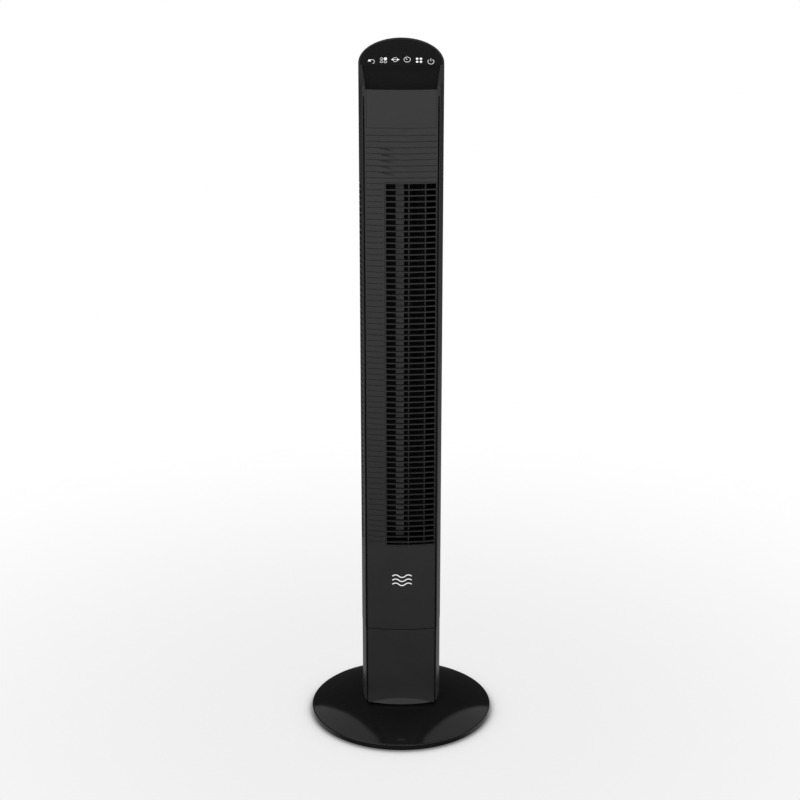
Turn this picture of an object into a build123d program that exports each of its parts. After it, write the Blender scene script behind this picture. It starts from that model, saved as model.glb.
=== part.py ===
from build123d import *
import math
import os

# A tower fan: a round weighted base, a column that swings on it, and a tall
# cross-flow blower inside the column. The origin is the centre of the base on the
# floor, +Z is up and the air leaves towards -Y. All sizes are millimetres.

# ---------------------------------------------------------------- base disc
base_radius = 160.0
base_rim_height = 11.6
base_platform_height = 38.5
base_platform_radius = 67.5
base_wall = 3.0
base_rim_round = 1.8
base_lift = 1.5
bottom_plate_thickness = 2.5
weight_plate_radius = 128.0
weight_plate_thickness = 4.0
weight_plate_bore = 24.0
foot_count = 6
foot_circle = 138.0
foot_radius = 9.0
foot_stem = 3.0
foot_edge_round = 0.4
base_screw_circle = 104.0
base_screw_length = 14.0
base_boss_radius = 4.5
gland_radius = 4.1
gland_bore = 3.1
gland_length = 9.0
gland_lift = 0.7

# ---------------------------------------------------------------- swivel
post_radius = 14.0
post_bore = 9.0
post_flange_radius = 31.0
post_flange_thickness = 4.0
post_screw_setout = 5.5
post_screw_count = 4
gear_module = 1.5
ring_gear_teeth = 36
pinion_teeth = 12
pressure_angle = 25.0
tooth_backlash = 0.3
ring_gear_height = 8.0
thrust_washer_width = 10.0
thrust_washer_thickness = 1.5
swing_plate_thickness = 4.0
swing_hub_wall = 3.0
swing_bush_wall = 3.0
swing_bush_height = 10.2
retainer_overlap = 6.5
retainer_thickness = 2.0
retainer_screw_count = 3
swing_limit = 35.0
stop_clearance = 1.0
stop_depth = 4.0
stop_lug_half = 4.0
stop_rib_half = 2.0
stop_rib_height = 5.0
stop_slack = 1.5
swing_motor_radius = 17.0
swing_motor_height = 19.0
swing_motor_offset = 7.0
swing_motor_shaft = 2.5
swing_motor_ear = 21.0
swing_motor_ear_half = 3.5

# ---------------------------------------------------------------- column outline
column_half_width = 69.0
column_rear = 62.0
column_front = 67.0
front_corner_x = 60.6
front_corner_y = 59.0
pedestal_step = 0.5
column_bottom = 41.0
seam_height = 184.0
seam_gap = 1.0
top_middle = 1146.0
front_top_drop = 3.2
top_slope = 29.07
housing_wall = 2.8
panel_wall = 3.0
panel_half_width = 58.2
panel_return = 2.5
panel_return_back = -44.0
side_edge_setback = 5.0
side_edge_thickness = 1.1
lip_width = 2.0
lip_setback = 11.0
toe_height = 11.0
toe_reach = 2.5
toe_depth = 6.0
corner_post_radius = 4.5
corner_post_web = 16.0
corner_post_web_half = 2.0
corner_post_screw = 14.0
housing_floor_thickness = 3.0
housing_floor_setback = 24.0
lead_hole_radius = 22.0

# ---------------------------------------------------------------- outlet and intake
slat_count = 64
slat_pitch = 9.6
slat_height = 2.0
slat_depth = 6.5
grille_left = -26.8
grille_border = 2.2
grille_bottom = 340.0
grille_rib_places = (12.4, 39.0)
grille_rib_width = 1.8
grille_rib_setback = 3.2
grille_end_clearance = 4.3
grille_step = 0.9
groove_height = 1.2
groove_depth = 1.1
groove_margin = 2.2
top_groove_count = 8
window_height = 60.0
window_thickness = 1.6
window_margin = 3.0
window_ledge = 9.0
intake_slot_height = 4.6
intake_start = 45.0
intake_end = 214.0
intake_rib_count = 5
intake_rib_width = 3.0
intake_rib_depth = 3.0

# ---------------------------------------------------------------- blower and duct
blower_x = 8.0
blower_y = 18.0
blower_radius = 36.0
blade_depth = 8.0
blade_thickness = 1.2
blade_count = 28
blade_sweep = 14.0
blower_disc_thickness = 2.0
blower_disc_count = 13
wheel_end_gap = 6.0
hub_radius = 11.0
hub_rim = 2.0
hub_depth = 16.0
set_screw_height = 10.0
set_screw_radius = 1.45
duct_wall = 2.0
duct_plate = 3.0
duct_overlap = 2.0
tongue_left = -9.0
tongue_right = 5.0
tongue_gap = 3.5
tongue_thickness = 2.5
motor_radius = 36.0
motor_height = 62.0
motor_drop = 12.0
motor_wall = 1.5
motor_end_round = 4.0
motor_ear_circle = 27.0
motor_ear_radius = 4.0
motor_ear_height = 3.0
motor_pad_radius = 6.0
motor_ear_count = 3
motor_slot_count = 12
motor_vent_count = 8
bearing_height = 6.0
bearing_seat_wall = 2.0
winding_height = 7.0
motor_shaft_radius = 4.0
motor_bearing_radius = 8.0
rotor_radius = 17.0
stator_radius = 33.0
stator_height = 26.0
top_pin_radius = 3.0
top_bush_radius = 6.0
top_rubber_radius = 11.0
top_rubber_flange = 3.0
top_flange_height = 2.0
top_bush_rise = 5.0
top_pin_head = 7.0

# ---------------------------------------------------------------- controls
rim_recess = 0.6
touch_panel_thickness = 2.5
fold_y = -5.0
scoop_sag = 9.0
scoop_thickness = 2.2
scoop_front_half = 56.4
scoop_back_half = 63.0
scoop_front_lean = 3.6
scoop_back_lean = 6.3
cheek_depth = 14.0
control_board_drop = 14.0
control_board_half = 50.0
control_board_depth = 52.0
control_board_middle = 24.0
board_thickness = 1.6
board_posts = ((-44.0, 14.0), (44.0, 14.0), (-22.0, 44.0), (22.0, 44.0))
tray_thickness = 2.0
tray_post_height = 4.0
display_setback = 12.0
display_half_width = 36.0
display_half_height = 16.0
digit_depth = 6.0
key_count = 6
key_spacing = 19.0
key_row_y = 6.0

# ---------------------------------------------------------------- fits and fasteners
running_gap = 0.05
slip_gap = 0.25
screw_shank = 1.5
screw_head = 3.0
screw_head_height = 2.0
screw_head_round = 0.8
screw_slot = 0.7
screw_slot_depth = 0.8
screw_gap = 0.1
screw_pilot = 1.2
long_screw_pilot = 1.6
long_screw = 16.0
screw_boss_radius = 4.0
screw_tower_radius = 5.0
screw_sink = 3.0
screw_meeting_y = 15.0
housing_screw_x = 50.0
housing_screw_margin = 20.5
housing_screw_top_margin = 35.0
pedestal_screw_x = 28.0
pedestal_screw_heights = (95.0, 165.0)
power_board_half_width = 40.0
power_board_height = 100.0
power_board_lift = 22.0
power_board_setback = 24.0
capacitor_width = 16.0
capacitor_height = 36.0

# ---------------------------------------------------------------- worked out from these
platform = base_platform_height
gear_radius = gear_module * ring_gear_teeth / 2
pinion_radius = gear_module * pinion_teeth / 2
pinion_x = gear_radius + pinion_radius
gear_top = platform + ring_gear_height
plate_bottom = gear_top + thrust_washer_thickness
plate_top = plate_bottom + swing_plate_thickness
bush_top = plate_bottom + swing_bush_height
post_top = bush_top + 2 * running_gap
post_bottom = platform - base_wall - post_flange_thickness
post_screw_circle = post_radius + post_screw_setout
swing_bush_radius = post_radius + swing_bush_wall
thrust_washer_radius = post_radius + thrust_washer_width
retainer_radius = post_radius + retainer_overlap
retainer_circle = (post_radius + post_bore) / 2
stop_inner = gear_radius + gear_module + stop_clearance
stop_outer = stop_inner + stop_depth
gland_height = base_lift + gland_radius + gland_lift
body_bottom = seam_height + seam_gap / 2
pedestal_top = seam_height - seam_gap / 2
front_top = top_middle - front_corner_y * math.tan(math.radians(top_slope)) - front_top_drop
front_arc_radius = (front_corner_x**2 + (column_front - front_corner_y) ** 2) / (
    2 * (column_front - front_corner_y)
)
front_arc_centre = front_arc_radius - column_front
first_slat = grille_bottom + grille_border + grille_end_clearance
grille_top = first_slat + slat_pitch * slat_count + grille_border + grille_step
grille_back = -front_corner_y + slat_depth
duct_bottom = grille_bottom - duct_overlap
duct_top = grille_top + duct_overlap
wheel_bottom = duct_bottom + duct_plate + wheel_end_gap
wheel_top = duct_top - duct_plate - wheel_end_gap
tongue_front = blower_y - blower_radius - tongue_gap - tongue_thickness
tongue_middle = (tongue_left + tongue_right) / 2
duct_front = grille_back + grille_step
top_bush_top = duct_top + top_bush_rise
motor_top = duct_bottom - motor_drop
motor_bottom = motor_top - motor_height
motor_ear_top = motor_top + motor_ear_height
top_plane = Plane(
    origin=(0, 0, top_middle),
    x_dir=(1, 0, 0),
    z_dir=(0, -math.sin(math.radians(top_slope)), math.cos(math.radians(top_slope))),
)
tall = 2 * top_middle
above_top = top_middle + column_rear
wide = 2 * column_half_width
display_y = -column_front + display_setback
power_board_y = -column_front + power_board_setback
post_insets = ((12.0, -24.0), (27.0, 38.0))
post_places = [(side * (column_half_width - inset), y) for inset, y in post_insets for side in (-1, 1)]
pedestal_screw_places = [(side * pedestal_screw_x, z) for side in (-1, 1) for z in pedestal_screw_heights]
housing_screw_heights = (
    body_bottom + housing_screw_margin,
    grille_bottom - housing_screw_margin,
    grille_top + housing_screw_margin,
    front_top - housing_screw_top_margin,
)
housing_screw_places = [(side * housing_screw_x, z) for side in (-1, 1) for z in housing_screw_heights]


# ---------------------------------------------------------------- shape helpers
def rod(radius, low, high, x=0.0, y=0.0):
    """Upright cylinder between two heights."""
    return Pos(x, y, (low + high) / 2) * Cylinder(radius, high - low)


def tube(outer, inner, low, high, x=0.0, y=0.0):
    """Upright tube between two heights."""
    return rod(outer, low, high, x, y) - rod(inner, low - 1, high + 1, x, y)


def rod_y(radius, front, back, x, z):
    """Cylinder along Y between two depths."""
    return Pos(x, (front + back) / 2, z) * Rot(90, 0, 0) * Cylinder(radius, back - front)


def block(x0, x1, y0, y1, z0, z1):
    """Box between three pairs of faces."""
    return Pos((x0 + x1) / 2, (y0 + y1) / 2, (z0 + z1) / 2) * Box(x1 - x0, y1 - y0, z1 - z0)


def polar(radius, degrees):
    """Point at a radius and an angle from +X."""
    angle = math.radians(degrees)
    return radius * math.cos(angle), radius * math.sin(angle)


def around(count, radius, first=0.0):
    """Evenly spaced points on a circle."""
    return [polar(radius, first + 360.0 * i / count) for i in range(count)]


def prism(face, low, high):
    """Plan face raised between two heights."""
    return Pos(0, 0, low) * extrude(face, high - low)


motor_ears = around(motor_ear_count, motor_ear_circle, 90)


def column_section(inset=0.0, step=0.0):
    """Plan of the column: shallow front arc, flared sides and a half-oval back."""
    half = column_half_width - inset - step
    corner_x = front_corner_x - inset - step
    corner_y = front_corner_y - inset
    rear = column_rear - inset - step
    side_radius = ((half - corner_x) ** 2 + corner_y**2) / (2 * (half - corner_x))
    middle = math.asin(corner_y / side_radius) / 2
    side_x = half - side_radius + side_radius * math.cos(middle)
    side_y = -side_radius * math.sin(middle)
    front = ThreePointArc((-corner_x, -corner_y), (0, -column_front + inset), (corner_x, -corner_y))
    right = ThreePointArc((corner_x, -corner_y), (side_x, side_y), (half, 0))
    back = EllipticalCenterArc((0, 0), half, rear, start_angle=0, arc_size=180)
    left = ThreePointArc((-half, 0), (-side_x, side_y), (-corner_x, -corner_y))
    return make_face([front, right, back, left])


def column_solid(inset, low, high, step=0.0):
    """Column outline raised between two heights."""
    return prism(column_section(inset, step), low, high)


def front_ring(outer_drop, inner_drop, low, high):
    """Band that follows the front arc, between two depths behind the front face."""
    outer = front_arc_radius - outer_drop
    inner = front_arc_radius - inner_drop
    return tube(outer, inner, low, high, 0, front_arc_centre)


def front_band(outer_drop, inner_drop, x0, x1, low, high):
    """Part of the front arc between two X places."""
    reach = block(x0, x1, -column_front - 10, -front_corner_y + 20, low, high)
    return front_ring(outer_drop, inner_drop, low - 1, high + 1) & reach


def under_top(solid, drop=0.0):
    """Everything above the sloping top plane is cut away."""
    above = top_plane * (Pos(0, 0, 150 - drop) * Box(500, 600, 300))
    return solid - above


def top_slab(upper, lower):
    """Slab parallel to the sloping top, between two depths below it."""
    return top_plane * (Pos(0, 0, -(upper + lower) / 2) * Box(400, 400, lower - upper))


def screw(length, head=screw_head, shank=screw_shank):
    """Pan-head screw along +Z: head from 0 up, shank from 0 down, crossed recess."""
    dome = fillet(rod(head, 0, screw_head_height).edges().sort_by(Axis.Z)[-1], screw_head_round)
    recess = Box(head, screw_slot, 2 * screw_slot_depth) + Box(screw_slot, head, 2 * screw_slot_depth)
    return dome + rod(shank, -length, 0.0) - Pos(0, 0, screw_head_height) * recess


def involute_gear(teeth, low, high, bore, turn=0.0):
    """Spur gear with involute flanks."""
    pitch = gear_module * teeth / 2
    flat = math.radians(pressure_angle)
    base = pitch * math.cos(flat)
    tip = pitch + gear_module
    root = pitch - 1.25 * gear_module
    half = (math.pi * gear_module / 2 - tooth_backlash) / (2 * pitch)
    at_pitch = math.tan(flat) - flat
    start = max(base, root)
    flank = []
    for i in range(6):
        radius = start + (tip - start) * i / 5
        roll = math.acos(base / radius)
        flank.append((radius, half + at_pitch - (math.tan(roll) - roll)))
    foot = [(root - 0.2, flank[0][1])]
    side = foot + flank
    outline = [(r * math.cos(a), -r * math.sin(a)) for r, a in side]
    outline += [(r * math.cos(a), r * math.sin(a)) for r, a in reversed(side)]
    tooth = prism(make_face(Polyline(*outline, close=True)), low, high)
    ring = rod(root, low, high)
    teeth_around = [Rot(0, 0, turn + 360.0 * i / teeth) * tooth for i in range(teeth)]
    return ring + teeth_around - rod(bore, low - 1, high + 1)


def save(name, shape):
    """One file for each piece."""
    export_step(shape, f"parts/{name}.step")


def group(shapes):
    """Like pieces kept as separate solids."""
    return Compound(children=list(shapes))


# ---------------------------------------------------------------- base
def dome_centre():
    """Height of the centre of the disc's shallow dome, below the floor."""
    shoulder = base_radius - base_rim_round
    across = base_platform_radius**2 - shoulder**2
    return (across + platform**2 - base_rim_height**2) / (2 * (platform - base_rim_height))


def dome_height(radius, inset=0.0):
    """Height of the dome, or of the surface a wall's thickness below it, at a radius."""
    centre = dome_centre()
    dome = math.hypot(base_platform_radius, platform - centre) - inset
    return centre + math.sqrt(dome**2 - radius**2)


def dome_arc(start, end, inset=0.0):
    """Arc of the dome between two radii."""
    ends = [(r, dome_height(r, inset)) for r in (start, (start + end) / 2, end)]
    return ThreePointArc(*ends)


def base_cover():
    inner = base_radius - base_wall
    shoulder = base_radius - base_rim_round
    dome = math.hypot(base_platform_radius, platform - dome_centre()) - base_wall
    under = math.sqrt(dome**2 - (platform - base_wall - dome_centre()) ** 2)
    hole = post_radius + slip_gap
    edge = [
        Line((hole, platform), (base_platform_radius, platform)),
        dome_arc(base_platform_radius, shoulder),
        ThreePointArc(
            (shoulder, base_rim_height),
            (base_radius - 0.3 * base_rim_round, base_rim_height - 0.3 * base_rim_round),
            (base_radius, base_rim_height - base_rim_round),
        ),
        Polyline(
            (base_radius, base_rim_height - base_rim_round),
            (base_radius, base_lift),
            (inner, base_lift),
            (inner, dome_height(inner, base_wall)),
        ),
        dome_arc(inner, under, base_wall),
        Polyline((under, platform - base_wall), (hole, platform - base_wall), (hole, platform)),
    ]
    shell = revolve(Plane.XZ * make_face(edge), Axis.Z)
    plate_top_height = base_lift + bottom_plate_thickness
    bosses = []
    pilots = []
    boss_top = dome_height(base_screw_circle + base_boss_radius) - base_wall / 2
    for x, y in around(foot_count, base_screw_circle, 180 / foot_count):
        bosses.append(rod(base_boss_radius, plate_top_height, boss_top, x, y))
        pilots.append(rod(screw_shank + screw_gap, 0, base_lift + base_screw_length + 1, x, y))
    for x, y in around(post_screw_count, post_screw_circle, 45):
        pilots.append(rod(screw_shank + slip_gap, post_bottom, gear_top, x, y))
    outlet_bore = gland_radius + running_gap
    outlet = rod_y(outlet_bore, base_radius - 2 * gland_length, base_radius + 1, 0, gland_height)
    return shell + bosses - (pilots + [outlet])


def base_bottom_plate():
    top = base_lift + bottom_plate_thickness
    plate = rod(base_radius - base_wall - slip_gap, base_lift, top)
    screws = around(foot_count, base_screw_circle, 180 / foot_count)
    cuts = [rod(screw_shank + slip_gap, 0, top + 1, x, y) for x, y in screws]
    cuts += [rod(foot_stem + running_gap, 0, top + 1, x, y) for x, y in around(foot_count, foot_circle)]
    lead_half = gland_radius + base_wall
    cuts.append(block(-lead_half, lead_half, base_radius - 2 * gland_length, base_radius, 0, top + 1))
    return plate - cuts


def rubber_feet():
    feet = []
    for x, y in around(foot_count, foot_circle):
        pad = fillet(rod(foot_radius, 0, base_lift, x, y).edges().sort_by(Axis.Z)[0], foot_edge_round)
        feet.append(pad + rod(foot_stem, base_lift, base_lift + bottom_plate_thickness - 0.5, x, y))
    return group(feet)


def base_weight_plate():
    low = base_lift + bottom_plate_thickness
    plate = rod(weight_plate_radius, low, low + weight_plate_thickness)
    bosses = around(foot_count, base_screw_circle, 180 / foot_count)
    cuts = [rod(base_boss_radius + 1, 0, platform, x, y) for x, y in bosses]
    return plate - (cuts + [rod(weight_plate_bore, 0, platform)])


def base_screws():
    low = base_lift / 5
    shape = rod(screw_head, low, base_lift) + rod(screw_shank, base_lift, base_lift + base_screw_length)
    shape -= Pos(0, 0, low) * (Box(screw_head, screw_slot, 1) + Box(screw_slot, screw_head, 1))
    return group(Pos(x, y, 0) * shape for x, y in around(foot_count, base_screw_circle, 180 / foot_count))


def cable_gland():
    start = base_radius - gland_length
    return rod_y(gland_radius, start, base_radius, 0, gland_height) - rod_y(
        gland_bore, start - 1, base_radius + 1, 0, gland_height
    )


# ---------------------------------------------------------------- swivel
def pivot_post():
    flange = rod(post_flange_radius, post_bottom, platform - base_wall)
    post = flange + rod(post_radius, post_bottom, post_top)
    cuts = [rod(post_bore, 0, post_top + 1)]
    screws = around(post_screw_count, post_screw_circle, 45)
    cuts += [rod(screw_shank + slip_gap, 0, platform, x, y) for x, y in screws]
    pilots = around(retainer_screw_count, retainer_circle)
    cuts += [rod(screw_pilot, post_top - 9, post_top + 1, x, y) for x, y in pilots]
    return post - cuts


def pivot_post_screws():
    one = Rot(180, 0, 0) * screw(gear_top - 3 - post_bottom)
    return group(Pos(x, y, post_bottom) * one for x, y in around(post_screw_count, post_screw_circle, 45))


def swing_ring_gear():
    half_tooth = 180.0 / ring_gear_teeth
    gear = involute_gear(ring_gear_teeth, platform, gear_top, post_radius + slip_gap, half_tooth)
    lug = block(-stop_outer, 3 - gear_radius, -stop_lug_half, stop_lug_half, platform, gear_top)
    screws = around(post_screw_count, post_screw_circle, 45)
    cuts = [rod(screw_shank + screw_gap, platform - 1, gear_top - 2, x, y) for x, y in screws]
    return gear + lug - cuts


def thrust_washer():
    return tube(thrust_washer_radius, post_radius + slip_gap, gear_top, plate_bottom)


def swing_bush():
    return tube(swing_bush_radius, post_radius + running_gap, plate_bottom, bush_top)


def swing_plate():
    inset = housing_wall + slip_gap
    plate = column_solid(inset, plate_bottom, plate_top, pedestal_step)
    plate -= block(-wide, wide, -wide, panel_return_back + 2 * slip_gap, 0, tall)
    plate += rod(swing_bush_radius + swing_hub_wall, plate_bottom, bush_top)
    middle = (stop_inner + stop_outer) / 2
    spread = swing_limit + stop_slack + math.degrees((stop_lug_half + stop_rib_half) / middle)
    rib_low = plate_bottom - stop_rib_height
    rib = block(-stop_outer, -stop_inner, -stop_rib_half, stop_rib_half, rib_low, plate_bottom)
    plate += [Rot(0, 0, side * spread) * rib for side in (-1, 1)]
    cuts = [rod(swing_bush_radius + running_gap, 0, tall)]
    cuts.append(rod(swing_motor_shaft + swing_bush_wall / 2, 0, tall, pinion_x, 0))
    motor_x = pinion_x + swing_motor_offset
    cuts += [rod(screw_shank + screw_gap, 0, tall, motor_x, side * swing_motor_ear) for side in (-1, 1)]
    cuts += [rod(screw_shank + slip_gap, 0, tall, x, y) for x, y in post_places]
    return plate - cuts


def swing_plate_screws():
    one = Rot(180, 0, 0) * screw(swing_plate_thickness + corner_post_screw - 2)
    return group(Pos(x, y, plate_bottom) * one for x, y in post_places)


def retaining_plate():
    ring = tube(retainer_radius, post_bore, post_top, post_top + retainer_thickness)
    screws = around(retainer_screw_count, retainer_circle)
    return ring - [rod(screw_pilot + screw_gap, 0, tall, x, y) for x, y in screws]


def retaining_screws():
    one = screw(retainer_thickness + 6, 2 * screw_pilot - screw_gap, screw_pilot - screw_gap)
    places = around(retainer_screw_count, retainer_circle)
    return group(Pos(x, y, post_top + retainer_thickness) * one for x, y in places)


def swing_pinion():
    gear = involute_gear(pinion_teeth, platform + 1, gear_top - tooth_backlash, swing_motor_shaft)
    return Pos(pinion_x, 0, 0) * gear


def swing_motor_spindle():
    return rod(swing_motor_shaft, platform + 1, plate_top + swing_motor_height / 4, pinion_x, 0)


def swing_motor():
    x = pinion_x + swing_motor_offset
    drum = rod(swing_motor_radius, plate_top, plate_top + swing_motor_height, x)
    can = fillet(drum.edges().sort_by(Axis.Z)[-1], motor_wall)
    half = swing_motor_ear_half
    ears = block(x - half, x + half, -swing_motor_ear, swing_motor_ear, plate_top, plate_top + 1)
    ears += [rod(half, plate_top, plate_top + 1, x, side * swing_motor_ear) for side in (-1, 1)]
    side_y = swing_motor_radius
    lead_box = block(x - 7, x + 7, side_y - 4, side_y + 2, plate_top + 4, plate_top + swing_motor_height - 3)
    cuts = [rod(swing_motor_shaft + running_gap, 0, plate_top + swing_motor_height / 4 + 0.5, pinion_x, 0)]
    cuts += [rod(screw_shank + slip_gap, 0, plate_top + 2, x, side * swing_motor_ear) for side in (-1, 1)]
    return can + ears + lead_box - cuts


def swing_motor_screws():
    x = pinion_x + swing_motor_offset
    one = screw(swing_plate_thickness + 2)
    return group(Pos(x, side * swing_motor_ear, plate_top + 1) * one for side in (-1, 1))


# ---------------------------------------------------------------- pedestal covers
def front_plate(low, high):
    """Curved front plate with a return along each side."""
    plate = front_band(0, panel_wall, -panel_half_width, panel_half_width, low, high)
    for side in (-1, 1):
        inner = side * (panel_half_width - panel_return)
        outer = side * panel_half_width
        ends = (min(inner, outer), max(inner, outer))
        plate += block(*ends, -front_corner_y + 1, panel_return_back, low, high)
    return plate


def rear_shell(low, high, step=0.0):
    """Sides and back of the column, with a lip that closes the groove beside the front."""
    shell = column_solid(0, low, high, step) - column_solid(housing_wall, low - 1, high + 1, step)
    gap = panel_half_width + slip_gap
    edge_y = -front_corner_y + side_edge_setback
    lip_y = -front_corner_y + lip_setback
    shell -= block(-gap, gap, -wide, panel_return_back, low - 1, high + 1)
    shell -= block(-wide, wide, -wide, edge_y, low - 1, high + 1)
    groove_space = block(-wide, wide, edge_y - 1, lip_y, low - 1, high + 1)
    shell -= groove_space & column_solid(side_edge_thickness, low - 1, high + 1, step)
    lip = block(-wide, wide, lip_y, lip_y + lip_width, low, high) & column_solid(1, low, high, step)
    return shell + (lip - block(-gap, gap, -wide, wide, low - 1, high + 1))


def toe():
    """Skirt at the foot of the front, bowed a little further out than the plate above."""
    lean = math.degrees(math.atan2(toe_reach, toe_height))
    bow = ThreePointArc(
        (-panel_half_width, -front_corner_y),
        (0, -column_front - toe_reach),
        (panel_half_width, -front_corner_y),
    )
    chord = Polyline(
        (panel_half_width, -front_corner_y),
        (panel_half_width, -front_corner_y + toe_depth),
        (-panel_half_width, -front_corner_y + toe_depth),
        (-panel_half_width, -front_corner_y),
    )
    way = (0, math.sin(math.radians(lean)), math.cos(math.radians(lean)))
    wedge = extrude(Pos(0, 0, column_bottom) * make_face([bow, chord]), toe_height + 3, way)
    return wedge - rod(front_arc_radius - panel_wall, 0, tall, 0, front_arc_centre)


def lower_front_cover():
    cover = front_plate(column_bottom, pedestal_top) + toe()
    boss_start = -column_front + panel_wall + 1
    cover += [rod_y(screw_boss_radius, boss_start, screw_meeting_y, x, z) for x, z in pedestal_screw_places]
    keep = block(-wide, wide, -wide, wide, column_bottom, pedestal_top)
    return (cover & keep) - long_screw_pilots(pedestal_screw_places)


def long_screw_pilots(places):
    """Holes in the front's posts for the threads of the long screws."""
    start = screw_meeting_y - long_screw
    return [rod_y(long_screw_pilot, start, screw_meeting_y + 1, x, z) for x, z in places]


def screw_towers(shell, places, step=0.0):
    """Tubes from the back wall that take the long screws, with sunk heads."""
    outline = column_solid(housing_wall / 2, 0, tall, step)
    seat = screw_meeting_y + screw_sink
    towers = [rod_y(screw_tower_radius, screw_meeting_y, wide, x, z) & outline for x, z in places]
    sinks = [rod_y(screw_head + screw_slot, seat, wide, x, z) for x, z in places]
    holes = [rod_y(screw_shank + slip_gap, screw_meeting_y - 1, wide, x, z) for x, z in places]
    return shell + towers - (sinks + holes)


def long_screws(places):
    one = Rot(-90, 0, 0) * screw(long_screw)
    return group(Pos(x, screw_meeting_y + screw_sink, z) * one for x, z in places)


def corner_post(x, y, low, high):
    """Upright post tied to the nearest wall."""
    reach = x + math.copysign(corner_post_web, x)
    half = corner_post_web_half
    web = block(min(x, reach), max(x, reach), y - half, y + half, low, high)
    post = rod(corner_post_radius, low, high, x, y)
    return post + (web & column_solid(housing_wall / 2, low, high, pedestal_step))


def lower_rear_cover():
    shell = rear_shell(column_bottom, pedestal_top, pedestal_step)
    for x, y in post_places:
        shell += corner_post(x, y, plate_top, pedestal_top)
    shell = screw_towers(shell, pedestal_screw_places, pedestal_step)
    bore = screw_shank + screw_gap
    pilots = []
    for x, y in post_places:
        pilots.append(rod(bore, plate_top - 1, plate_top + corner_post_screw, x, y))
        pilots.append(rod(bore, pedestal_top - corner_post_screw, pedestal_top + 1, x, y))
    return shell - pilots


def lower_cover_screws():
    return long_screws(pedestal_screw_places)


# ---------------------------------------------------------------- upper body
def groove(z, x0, x1):
    """Fine slot along the front arc, in line with a slat."""
    return front_band(-1, groove_depth, x0, x1, z - groove_height / 2, z + groove_height / 2)


def front_panel():
    panel = front_plate(body_bottom, front_top)
    boss_start = -front_corner_y - 1
    panel += [rod_y(screw_boss_radius, boss_start, screw_meeting_y, x, z) for x, z in housing_screw_places]
    panel -= long_screw_pilots(housing_screw_places)
    opening = (grille_bottom - slip_gap, grille_top + slip_gap)
    panel -= block(grille_left - slip_gap, wide, -wide, grille_back + grille_step, *opening)
    window_low = front_top - window_height
    edge = panel_half_width - window_margin
    panel -= front_band(-1, window_thickness + running_gap, -edge, edge, window_low, tall)
    inner_edge = edge - window_ledge
    pocket = (window_low + window_ledge, front_top - window_ledge)
    panel -= block(-inner_edge, inner_edge, -wide, grille_back, *pocket)
    for side in (-1, 1):
        inner = side * (panel_half_width - panel_return - 1)
        outer = side * (panel_half_width + 1)
        cut = block(min(inner, outer), max(inner, outer), -wide, 0, front_top - 2 * cheek_depth, tall)
        panel -= cut & rod(front_arc_radius - panel_wall, 0, tall, 0, front_arc_centre)
    left = -panel_half_width + groove_margin
    rows = [first_slat + slat_height / 2 + slat_pitch * i for i in range(slat_count + top_groove_count + 1)]
    panel -= [groove(z, left, grille_left - groove_margin) for z in rows[: slat_count + 1]]
    panel -= [groove(z, left, -left) for z in rows[slat_count + 1 :]]
    return panel


def display_window():
    edge = panel_half_width - window_margin - slip_gap
    low = front_top - window_height + slip_gap
    return front_band(0, window_thickness, -edge, edge, low, front_top)


def outlet_grille():
    right = panel_half_width - slip_gap
    inner_left = grille_left + grille_border
    slats = []
    for i in range(slat_count):
        z = first_slat + slat_pitch * i
        slats.append(front_band(0, slat_depth, inner_left - 0.5, right, z, z + slat_height))
    frame = front_band(-grille_step / 2, slat_depth, grille_left, inner_left, grille_bottom, grille_top)
    ends = []
    for low in (grille_bottom, grille_top - grille_border):
        high = low + grille_border
        ends.append(front_band(0, slat_depth, grille_left + 1, right, low, high))
    edge = front_band(panel_wall, slat_depth, right - grille_border, right, grille_bottom, grille_top)
    ribs = []
    for x in grille_rib_places:
        half = grille_rib_width / 2
        ribs.append(front_band(grille_rib_setback, slat_depth, x - half, x + half, grille_bottom, grille_top))
    return frame + (slats + ends + [edge] + ribs)


def intake_sector(low, high):
    """Wedge that opens the left side and the back of the wall."""
    steps = 8
    points = [(0.0, 0.0)]
    for i in range(steps + 1):
        points.append(polar(wide, intake_start + (intake_end - intake_start) * i / steps))
    return prism(make_face(Polyline(*points, close=True)), low, high)


def rear_housing():
    shell = rear_shell(body_bottom, above_top)
    slots = []
    for i in range(slat_count):
        z = first_slat + slat_pitch * i
        slots.append(intake_sector(z, z + intake_slot_height))
    shell -= slots
    wall = column_solid(housing_wall / 2, first_slat - slat_height, duct_top)
    wall -= column_solid(housing_wall + intake_rib_depth, 0, tall)
    ribs = []
    span = intake_end - intake_start
    for i in range(intake_rib_count):
        angle = intake_start + span * (i + 1) / (intake_rib_count + 1)
        half = intake_rib_width / 2
        rib = Rot(0, 0, angle) * block(blower_radius, wide, -half, half, 0, tall)
        ribs.append(rib & wall)
    shell += ribs
    shell += housing_floor()
    shell += cheeks()
    return screw_towers(under_top(shell), housing_screw_places)


def housing_floor():
    """Floor that stands on the pedestal's posts, open in the middle for the leads."""
    inset = housing_wall / 2
    floor = column_solid(inset, body_bottom, body_bottom + housing_floor_thickness)
    floor -= block(-wide, wide, -wide, -front_corner_y + housing_floor_setback, 0, tall)
    cuts = [rod(screw_shank + slip_gap, 0, tall, x, y) for x, y in post_places]
    return floor - (cuts + [rod(lead_hole_radius, 0, tall)])


def column_joint_screws():
    one = screw(corner_post_screw)
    return group(Pos(x, y, body_bottom + housing_floor_thickness) * one for x, y in post_places)


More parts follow.
